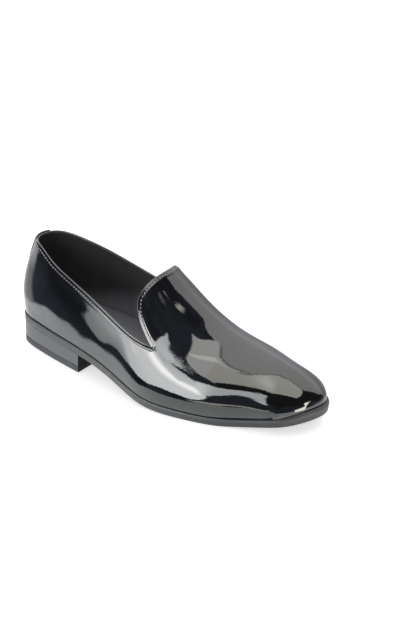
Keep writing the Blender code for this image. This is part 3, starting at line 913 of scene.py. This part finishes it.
def build_upper(patent, rim_highlight, lining, thread, lining_thread):
    """Leather folded over the collar and tongue edge, its stitches, and the lining inside it."""
    spokes, shares, edge = upper_rows()
    base = spoke_points(spokes, shares)
    normals = notch_outwards(base, grid_normals(base))
    distance = edge_distance(base, edge)
    relief = leather_relief(base, distance)
    outer = base + normals * relief[:, :, None]
    rim_base = base[:, -1]
    rim_normal = normals[:, -1]
    nearest = edge_tree(edge)
    up = np.array([np.array(nearest.find(place)[0]) - place for place in rim_base])
    up = unit(up - (up * rim_normal).sum(1, keepdims=True) * rim_normal)
    lift = rim_normal * relief[:, -1:]
    centre = rim_base - RIM_RADIUS * rim_normal
    rim = []
    for turn in np.linspace(0, np.pi, RIM_ROWS + 1)[1:]:
        radius = RIM_RADIUS * (1 - RIM_GROOVE * bell(turn, np.pi / 2, RIM_GROOVE_TURN))
        arm = radius * (np.cos(turn) * rim_normal + np.sin(turn) * up)
        rim.append(centre + arm + lift * (1 + np.cos(turn)) / 2)
    fold_rows = [edge_row(line) for line in FOLD_LINES]
    rows = base.shape[1]
    fold = [base[:, rows - 1 - k] - WALL * normals[:, rows - 1 - k] for k in fold_rows]
    hidden_rows = np.unique(np.linspace(0, rows - 1 - fold_rows[-1] - 3, HIDDEN_ROWS).astype(int))[::-1]
    hidden = [base[:, r] - LEATHER * normals[:, r] for r in hidden_rows]
    shell = np.concatenate([outer, np.stack(rim + fold + hidden, 1)], 1)
    columns, shell_rows = shell.shape[:2]
    row = np.arange(shell_rows)
    # The rim and the top of its inner fold take the painted highlight.
    rim_highlight_rows = (row >= rows + 1) & (row < rows + RIM_ROWS + 2)
    faces = loop_faces(columns, shell_rows, True)
    add_piece("upper_leather", shell.reshape(-1, 3), faces, (patent, rim_highlight), "patent_leather", ("upper",),
              sharp=70.0, which=np.tile(rim_highlight_rows, columns))

    x = base[:, :, 0]
    seam_ends = LINING_SEAM_X - LINING_SEAM_HALF, LINING_SEAM_X + LINING_SEAM_HALF
    overlap = LINING_STEP * smooth_share(x, *seam_ends)
    inside = base - normals * (WALL + overlap)[:, :, None]
    top_row = rows - 1 - edge_row(FOLD_DEPTH)
    face_rows = np.unique(np.linspace(0, top_row, LINING_ROWS).astype(int))[::-1]
    face = [inside[:, r] for r in face_rows]
    back = [base[:, r] - (LEATHER + LINING_GAP) * normals[:, r] for r in hidden_rows[::-1]]
    sheet = np.stack(face + back, 1)
    faces = loop_faces(columns, sheet.shape[1], True)
    add_piece("lining", sheet.reshape(-1, 3), faces, (lining,), "sock_lining", sharp=60.0)

    seam_row = rows - 1 - edge_row(STITCH_LINE)
    seam = np.concatenate([outer[:, seam_row], outer[:1, seam_row]])
    seam_up = np.concatenate([normals[:, seam_row], normals[:1, seam_row]])
    sew("collar_stitches", seam, seam_up, thread, "patent_leather",
        STITCH_PITCH, STITCH_LENGTH, THREAD_RADIUS, skip=under_tab)

    inner_side = from_middle(base) > 0
    beside = np.where(inner_side, np.abs(x - LINING_SEAM_X - SEAM_OFFSET), 1.0).argmin(0)
    height = np.arange(SEAM_FOOT_ROW, top_row)[::-1]
    seam = inside[beside[height], height]
    seam_up = -normals[beside[height], height]
    sew("lining_stitches", seam, seam_up, lining_thread, "sock_lining",
        SEAM_PITCH, SEAM_LENGTH, SEAM_RADIUS, sway=SEAM_SWAY)


def stitch_shape(length, radius):
    """One stitch lying along +X with its ends sunk in the leather: points and faces."""
    rings = np.linspace(-1, 1, STITCH_RINGS)
    sides = np.arange(STITCH_SIDES) * 2 * np.pi / STITCH_SIDES
    points = []
    for r in rings:
        girth = radius * math.sqrt(max(1 - abs(r) ** 4, 0.05))
        rise = radius * (0.75 - 1.4 * r * r)
        for s in sides:
            points.append((r * length / 2, girth * math.cos(s), rise + girth * math.sin(s)))
    faces = []
    for r in range(STITCH_RINGS - 1):
        here = r * STITCH_SIDES
        ahead = here + STITCH_SIDES
        for s in range(STITCH_SIDES):
            t = (s + 1) % STITCH_SIDES
            faces.append((here + s, ahead + s, ahead + t, here + t))
    faces.append(tuple(range(STITCH_SIDES)))
    faces.append(tuple(reversed(range(len(points) - STITCH_SIDES, len(points)))))
    return np.array(points), faces


def sew(name, line, ups, material, slot, pitch, length, radius, sway=0.0, skip=None):
    """Stitches along a line; with a sway they zigzag."""
    run = run_along(line)
    count = int(run[-1] / pitch)
    shape, shape_faces = stitch_shape(length, radius)
    vertices = []
    faces = []
    for k in range(count):
        where = (k + 0.5) * run[-1] / count
        middle = at_run(line, run, where)
        if skip is not None and skip(middle):
            continue
        up = at_run(ups, run, where)
        along = at_run(line, run, where + length / 2) - at_run(line, run, where - length / 2)
        along = unit(along + np.cross(up, along) * 2 * sway / length * (-1) ** k)
        up = unit(up - (up @ along) * along)
        across = np.cross(up, along)
        base = len(vertices) * len(shape)
        vertices.append(middle + shape @ np.array([along, across, up]))
        faces += [tuple(base + i for i in face) for face in shape_faces]
    add_piece(name, np.concatenate(vertices), faces, (material,), slot, sharp=60.0)


def build_heel_tab(patent):
    """Strip over the back seam with rounded edges."""
    across = np.linspace(-1, 1, TAB_COLUMNS)[:, None]
    down = np.linspace(1, 0, TAB_ROWS)[None, :]
    half = (TAB_TOP_WIDTH + (TAB_FOOT_WIDTH - TAB_TOP_WIDTH) * down) / 2
    x = (half * across) ** 2 / (2 * HEEL_END_RADIUS)
    z = outer_collar(x) - TAB_LENGTH * down
    outer_angle = angle_at(x, z)
    points = surface(x, np.where(across < 0, outer_angle, np.pi - outer_angle))
    along = np.gradient(points, axis=0)
    up = np.gradient(points, axis=1)
    normals = unit(np.cross(up, along))
    inward = np.minimum(half * (1 - np.abs(across)), np.minimum(down, 1 - down) * TAB_LENGTH)
    share = np.clip(inward / TAB_ROUNDING, 0, 1)
    rounding = np.sqrt(1 - (1 - share) ** 2)
    height = GAP + TAB_THICKNESS * (TAB_EDGE + (1 - TAB_EDGE) * rounding)
    top = points + normals * height[:, :, None]
    bottom = points + normals * GAP
    columns, rows = points.shape[:2]
    count = columns * rows
    faces = []
    for c in range(columns - 1):
        for r in range(rows - 1):
            here = c * rows + r
            quad = (here, here + 1, here + rows + 1, here + rows)
            faces.append(quad)
            faces.append(tuple(count + i for i in reversed(quad)))
    border = list(range(rows))
    border += [c * rows + rows - 1 for c in range(1, columns)]
    border += [(columns - 1) * rows + r for r in range(rows - 2, -1, -1)]
    border += [c * rows for c in range(columns - 2, 0, -1)]
    for i, here in enumerate(border):
        ahead = border[(i + 1) % len(border)]
        faces.append((here, count + here, count + ahead, ahead))
    vertices = np.concatenate([top.reshape(-1, 3), bottom.reshape(-1, 3)])
    add_piece("heel_tab_strip", vertices, faces, (patent,), "patent_leather", ("heel_tab",), sharp=60.0)


def build_sole(edge, welt):
    """Outsole with a bevelled lower edge and the slightly proud welt above it; the welt's lighter tone is
    painted light, the darker side below it painted shade.
    """
    xs = whole_length(SOLE_STATIONS)
    loop_x, _ = plan_loop(xs, sole_margin)
    floor_side = np.maximum(underside(loop_x), 0)
    top = sole_top(loop_x)
    step = top - WELT_THICKNESS
    bevel = BEVEL_LEFT + (1 - BEVEL_LEFT) * smooth_share(loop_x, HEEL_LENGTH, HEEL_LENGTH + BEVEL_RUN)
    bead = TOE_BEAD * smooth_share(loop_x, BEAD_START, TOE_FOOT_X)
    # Outward from the margin, and height, from the bottom to the top
    profile = (
        (-WELT_STEP - 0.0009 * bevel, floor_side),
        (-WELT_STEP - 0.0004 * bevel, floor_side + 0.0002 * bevel),
        (-WELT_STEP - 0.0001 * bevel, floor_side + 0.0007 * bevel),
        (-WELT_STEP, step - 0.0002),
        (-WELT_STEP + 0.0001, step),
        (-0.0001, step + 0.0001),
        (0.0, step + 0.0004),
        (-0.0002, top + 0.15 * bead - 0.0005),
        (-0.0004, top + 0.25 * bead - 0.0001),
        (-0.0008, top + 0.45 * bead),
        (-0.0016, top + 0.85 * bead),
        (-0.0022, top + bead),
        (-0.0029, top + 0.55 * bead),
        (-0.0036, top),
    )
    levels = []
    for inset, z in profile:
        _, plan = plan_loop(xs, lambda x: sole_margin(x) + inset)
        levels.append(at_height(plan, z))
    vertices, faces = stack(levels)
    count = len(loop_x)
    which = np.zeros(len(faces), int)
    # The welt's faces take the lighter copy of the edge finish: painted light.
    which[3 * count:(len(profile) - 1) * count] = 1
    add_piece("sole", vertices, faces, (edge, welt), "sole_edge", ("outsole",), which=which)


def heel_plan(inset):
    """D-shaped plan of the heel, flat at its breast, with both corners just broken."""
    turn = np.linspace(0, np.pi / 2, HEEL_STATIONS + 1)
    sections = HEEL_LENGTH * (1 - np.cos(turn))
    beyond = np.append(sections, 2 * HEEL_LENGTH - sections[-2])
    xs, plan = plan_loop(beyond, lambda x: sole_margin(x) - WELT_STEP - HEEL_INSET - inset)
    front = len(sections)
    breast = HEEL_LENGTH - inset
    outer = plan[:front - 1]
    inner = plan[front + 3:]
    bend = np.linspace(0, np.pi / 2, CORNER_STEPS)
    along = breast - CORNER_RADIUS * (1 - np.sin(bend))
    across = CORNER_RADIUS * (1 - np.cos(bend))
    outer_corner = np.column_stack([along, plan[front - 1, 1] + across])
    inner_corner = np.column_stack([along, plan[front + 2, 1] - across])[::-1]
    corner_x = np.full(2 * CORNER_STEPS, HEEL_LENGTH)
    whole = np.concatenate([outer, outer_corner, inner_corner, inner])
    whole[:, 0] = np.minimum(whole[:, 0], breast)
    return np.concatenate([xs[:front - 1], corner_x, xs[front + 3:]]), whole


def even_loop(plan, count):
    """A closed plan outline in even steps, and its outward directions."""
    closed = np.concatenate([plan, plan[:1]])
    run = run_along(closed)
    at = np.arange(count) * run[-1] / count
    loop = at_run(closed, run, at).T
    return at, loop, outward_of(loop, 2)


def breast_shade_faces(vertices, faces):
    """1 for each face on the flat front of the heel, which takes the painted shade."""
    return [int(np.all(vertices[list(face), 0] > HEEL_LENGTH - BREAST_DEPTH)) for face in faces]


def build_heel(stack_finish, lift_finish, shaded_breast):
    """Heel block and top lift with broken edges and a breast painted dark as shade; fine slanted ribs run
    round the lift.
    """
    xs, _ = heel_plan(0)
    seat = underside(xs) - GAP
    low = LIFT_THICKNESS + GAP
    block = [
        at_height(heel_plan(HEEL_BEVEL)[1], low),
        at_height(heel_plan(0)[1], low + HEEL_BEVEL),
        at_height(heel_plan(0)[1], seat),
    ]
    vertices, faces = stack(block)
    add_piece("heel_stack", vertices, faces, (stack_finish, shaded_breast), "heel_finish", ("heel_block",),
              which=breast_shade_faces(vertices, faces))
    run, loop, outward = even_loop(heel_plan(0)[1], RIB_POINTS)
    on_side = loop[:, 0] < HEEL_LENGTH - RIB_END
    ribbed = np.linspace(RIB_MARGIN, LIFT_THICKNESS - RIB_MARGIN, RIB_LEVELS)
    lift = []
    for z in (0.0, HEEL_BEVEL, *ribbed, LIFT_THICKNESS - HEEL_BEVEL, LIFT_THICKNESS):
        edge = min(z, LIFT_THICKNESS - z)
        rib = RIB_DEPTH * (0.5 + 0.5 * np.cos(2 * np.pi * (run - RIB_SLANT * z) / RIB_PITCH))
        inset = np.where(on_side, rib, 0.0) * smooth_share(edge, HEEL_BEVEL, RIB_MARGIN)
        inset = inset + max(HEEL_BEVEL - edge, 0)
        lift.append(at_height(loop - outward * inset[:, None], z))
    vertices, faces = stack(lift)
    add_piece("heel_lift", vertices, faces, (lift_finish, shaded_breast), "lift_rubber", ("top_lift",),
              which=breast_shade_faces(vertices, faces))


def build_insole(material):
    """Sock with a rounded edge."""
    xs = whole_length(SOLE_STATIONS)
    loop_x, _ = plan_loop(xs, sole_margin)
    bottom = sole_top(loop_x) + GAP
    top = bottom + INSOLE_THICKNESS
    levels = []
    for inset, z in ((0, bottom), (0, top - 0.0008), (0.0003, top - 0.0002), (0.0010, top)):
        _, plan = plan_loop(xs, lambda x: np.full_like(x, -INSOLE_INSET - inset))
        levels.append(at_height(plan, z))
    add_piece("sock", *stack(levels), (material,), "sock_lining", ("insole",))


def studio_world():
    """A dark room with lit panels, given by direction."""
    world = bpy.data.worlds.new("studio")
    bpy.context.scene.world = world
    world.use_nodes = True
    nodes = Nodes(world.node_tree)
    direction = nodes.add("ShaderNodeTexCoord").outputs["Generated"]
    elevation = nodes.math("DEGREES", nodes.math("ARCSINE", nodes.split(direction)["Z"]))
    total = None
    for panel in PANELS:
        turned = nodes.add("ShaderNodeVectorRotate", {"Vector": direction}, rotation_type="Z_AXIS")
        turned.inputs["Angle"].default_value = -math.radians(panel.azimuth)
        parts = nodes.split(turned.outputs[0])
        azimuth = nodes.math("ARCTAN2", parts["Y"], parts["X"])
        away = nodes.math("ABSOLUTE", nodes.math("DEGREES", azimuth))
        mask = nodes.edge(away, panel.width / 2, panel.azimuth_soft, 1.0, 0.0)
        low = nodes.edge(elevation, panel.low, panel.low_soft, 0.0, 1.0)
        high = nodes.edge(elevation, panel.high, panel.high_soft, 1.0, 0.0)
        share = nodes.math("MULTIPLY", nodes.math("MULTIPLY", mask, low), high)
        lit = nodes.math("MULTIPLY", share, panel.level)
        colour = nodes.vector("SCALE", panel.tint, lit)
        total = colour if total is None else nodes.vector("MAXIMUM", total, colour)
    haze = nodes.span(nodes.noise(direction, 2.5, 2.0), 0.35, 0.65, 0.5, 1.5)
    room = nodes.vector("SCALE", DARK_ROOM, haze)
    nodes.feed(world.node_tree.nodes["Background"], "Color", nodes.vector("ADD", total, room))


def stage_floor():
    """White floor that the shoe stands on, hidden from below, and a soft fill light."""
    material, nodes, shader, _ = new_material("floor_white")
    nodes.feed(shader, "Base Color", (0.9, 0.9, 0.9, 1.0))
    nodes.feed(shader, "Roughness", 0.9)
    nodes.feed(shader, "Emission Color", (1.0, 1.0, 1.0, 1.0))
    nodes.feed(shader, "Emission Strength", FLOOR_GLOW)
    clear = nodes.add("ShaderNodeBsdfTransparent")
    below = nodes.add("ShaderNodeNewGeometry").outputs["Backfacing"]
    mixed = nodes.add("ShaderNodeMixShader", {0: below, 1: shader.outputs[0], 2: clear.outputs[0]})
    nodes.feed(material.node_tree.nodes["Material Output"], "Surface", mixed.outputs[0])
    s = FLOOR_SIZE
    floor = stage_object("floor", [(-s, -s, 0), (s, -s, 0), (s, s, 0), (-s, s, 0)], [(0, 1, 2, 3)], material)
    floor.visible_glossy = False

    sun = bpy.data.lights.new("fill", "SUN")
    sun.energy = SUN_STRENGTH
    sun.angle = math.radians(SUN_ANGLE)
    new_object("fill", sun).visible_glossy = False


def stage_object(name, vertices, faces, material):
    """A thing of the studio that isn't part of the shoe."""
    mesh = bpy.data.meshes.new(name)
    mesh.from_pydata(vertices, [], faces)
    mesh.materials.append(material)
    thing = new_object(name, mesh)
    return thing


def glow_material(name, tint, level):
    """A lit surface, its node helper and its emission."""
    material = bpy.data.materials.new(name)
    material.use_nodes = True
    material.node_tree.nodes.clear()
    nodes = Nodes(material.node_tree)
    glow = nodes.add("ShaderNodeEmission", {"Color": (*tint, 1.0), "Strength": level})
    nodes.add("ShaderNodeOutputMaterial", {"Surface": glow.outputs[0]})
    return material, nodes, glow


def backdrop():
    """Pale wall far round the shoe, only seen directly."""
    material, _, _ = glow_material("backdrop_white", NEUTRAL, BACKDROP_LEVEL)
    count = BACKDROP_SIDES
    turn = np.arange(count) * 2 * np.pi / count
    ring = BACKDROP_RADIUS * np.column_stack([np.cos(turn), np.sin(turn)])
    vertices = [(x, y, z) for z in (-BACKDROP_RADIUS, BACKDROP_RADIUS) for x, y in ring]
    faces = [(i, (i + 1) % count, count + (i + 1) % count, count + i) for i in range(count)]
    only_seen(stage_object("backdrop", vertices, faces, material), "visible_camera")


def only_seen(thing, kept):
    """Hides a thing from every kind of ray but one."""
    for kind in ("visible_camera", "visible_diffuse", "visible_glossy", "visible_transmission",
                 "visible_volume_scatter", "visible_shadow"):
        setattr(thing, kind, kind == kept)


def reflection_card(card):
    """Lit card or black flag, seen only in reflections."""
    material, nodes, glow = glow_material(card.name, card.tint, card.base)
    if card.peak:
        place = nodes.add("ShaderNodeTexCoord").outputs["Object"]
        from_spot = nodes.vector("SUBTRACT", place, (*card.spot, 0.0))
        scaled = nodes.vector("DIVIDE", from_spot, (*card.spread, 1.0))
        away = nodes.vector("DOT_PRODUCT", scaled, scaled)
        bright = nodes.math("EXPONENT", nodes.math("MULTIPLY", away, -1.0))
        nodes.feed(glow, "Strength", nodes.math("MULTIPLY_ADD", bright, card.peak, card.base))
    corners = [(u, v, 0.0) for u, v in card.corners]
    thing = stage_object(card.name, corners, [tuple(range(len(corners)))], material)
    azimuth = math.radians(card.azimuth)
    elevation = math.radians(card.elevation)
    level = math.cos(elevation)
    outward = Vector((math.cos(azimuth) * level, math.sin(azimuth) * level, math.sin(elevation)))
    across = Vector((-math.sin(azimuth), math.cos(azimuth), 0.0))
    turn = Matrix((across, outward.cross(across), outward)).transposed().to_4x4()
    thing.matrix_world = Matrix.Translation(outward * card.distance) @ turn
    only_seen(thing, "visible_glossy")


def photo_camera():
    camera = new_object("camera", bpy.data.cameras.new("camera"))
    place = Vector(CAMERA_PLACE)
    turn = (Vector(CAMERA_AIM) - place).to_track_quat("-Z", "Y").to_matrix().to_4x4()
    roll = Matrix.Rotation(math.radians(CAMERA_ROLL), 4, "Z")
    camera.matrix_world = Matrix.Translation(place) @ turn @ roll
    camera.data.lens = CAMERA_LENS
    bpy.context.scene.camera = camera


bpy.context.scene.view_settings.view_transform = "Standard"
photo_camera()
studio_world()
stage_floor()
backdrop()
for card in CARDS:
    reflection_card(card)

patent = patent_material("patent_leather_gloss")
build_upper(patent, rim_highlight_material(), lining_material(), thread_material("collar_thread", 0.40, 0.60),
            thread_material("lining_thread", 0.05, 0.12))
build_heel_tab(patent)
# Lighter and darker copies of one edge finish: painted light on the welt, painted shade on the sole's side.
build_sole(edge_material("sole_edge_shaded", 0.030, 0.046, 0.40, 0.55, 0.00004),
           edge_material("welt_painted_light", 0.060, 0.085, 0.40, 0.55, 0.00004))
build_heel(edge_material("heel_stack_finish", 0.13, 0.17, 0.28, 0.40, 0.00002),
           edge_material("lift_rubber_finish", 0.05, 0.08, 0.50, 0.65, 0.00005),
           breast_shade_material())
build_insole(sock_material())
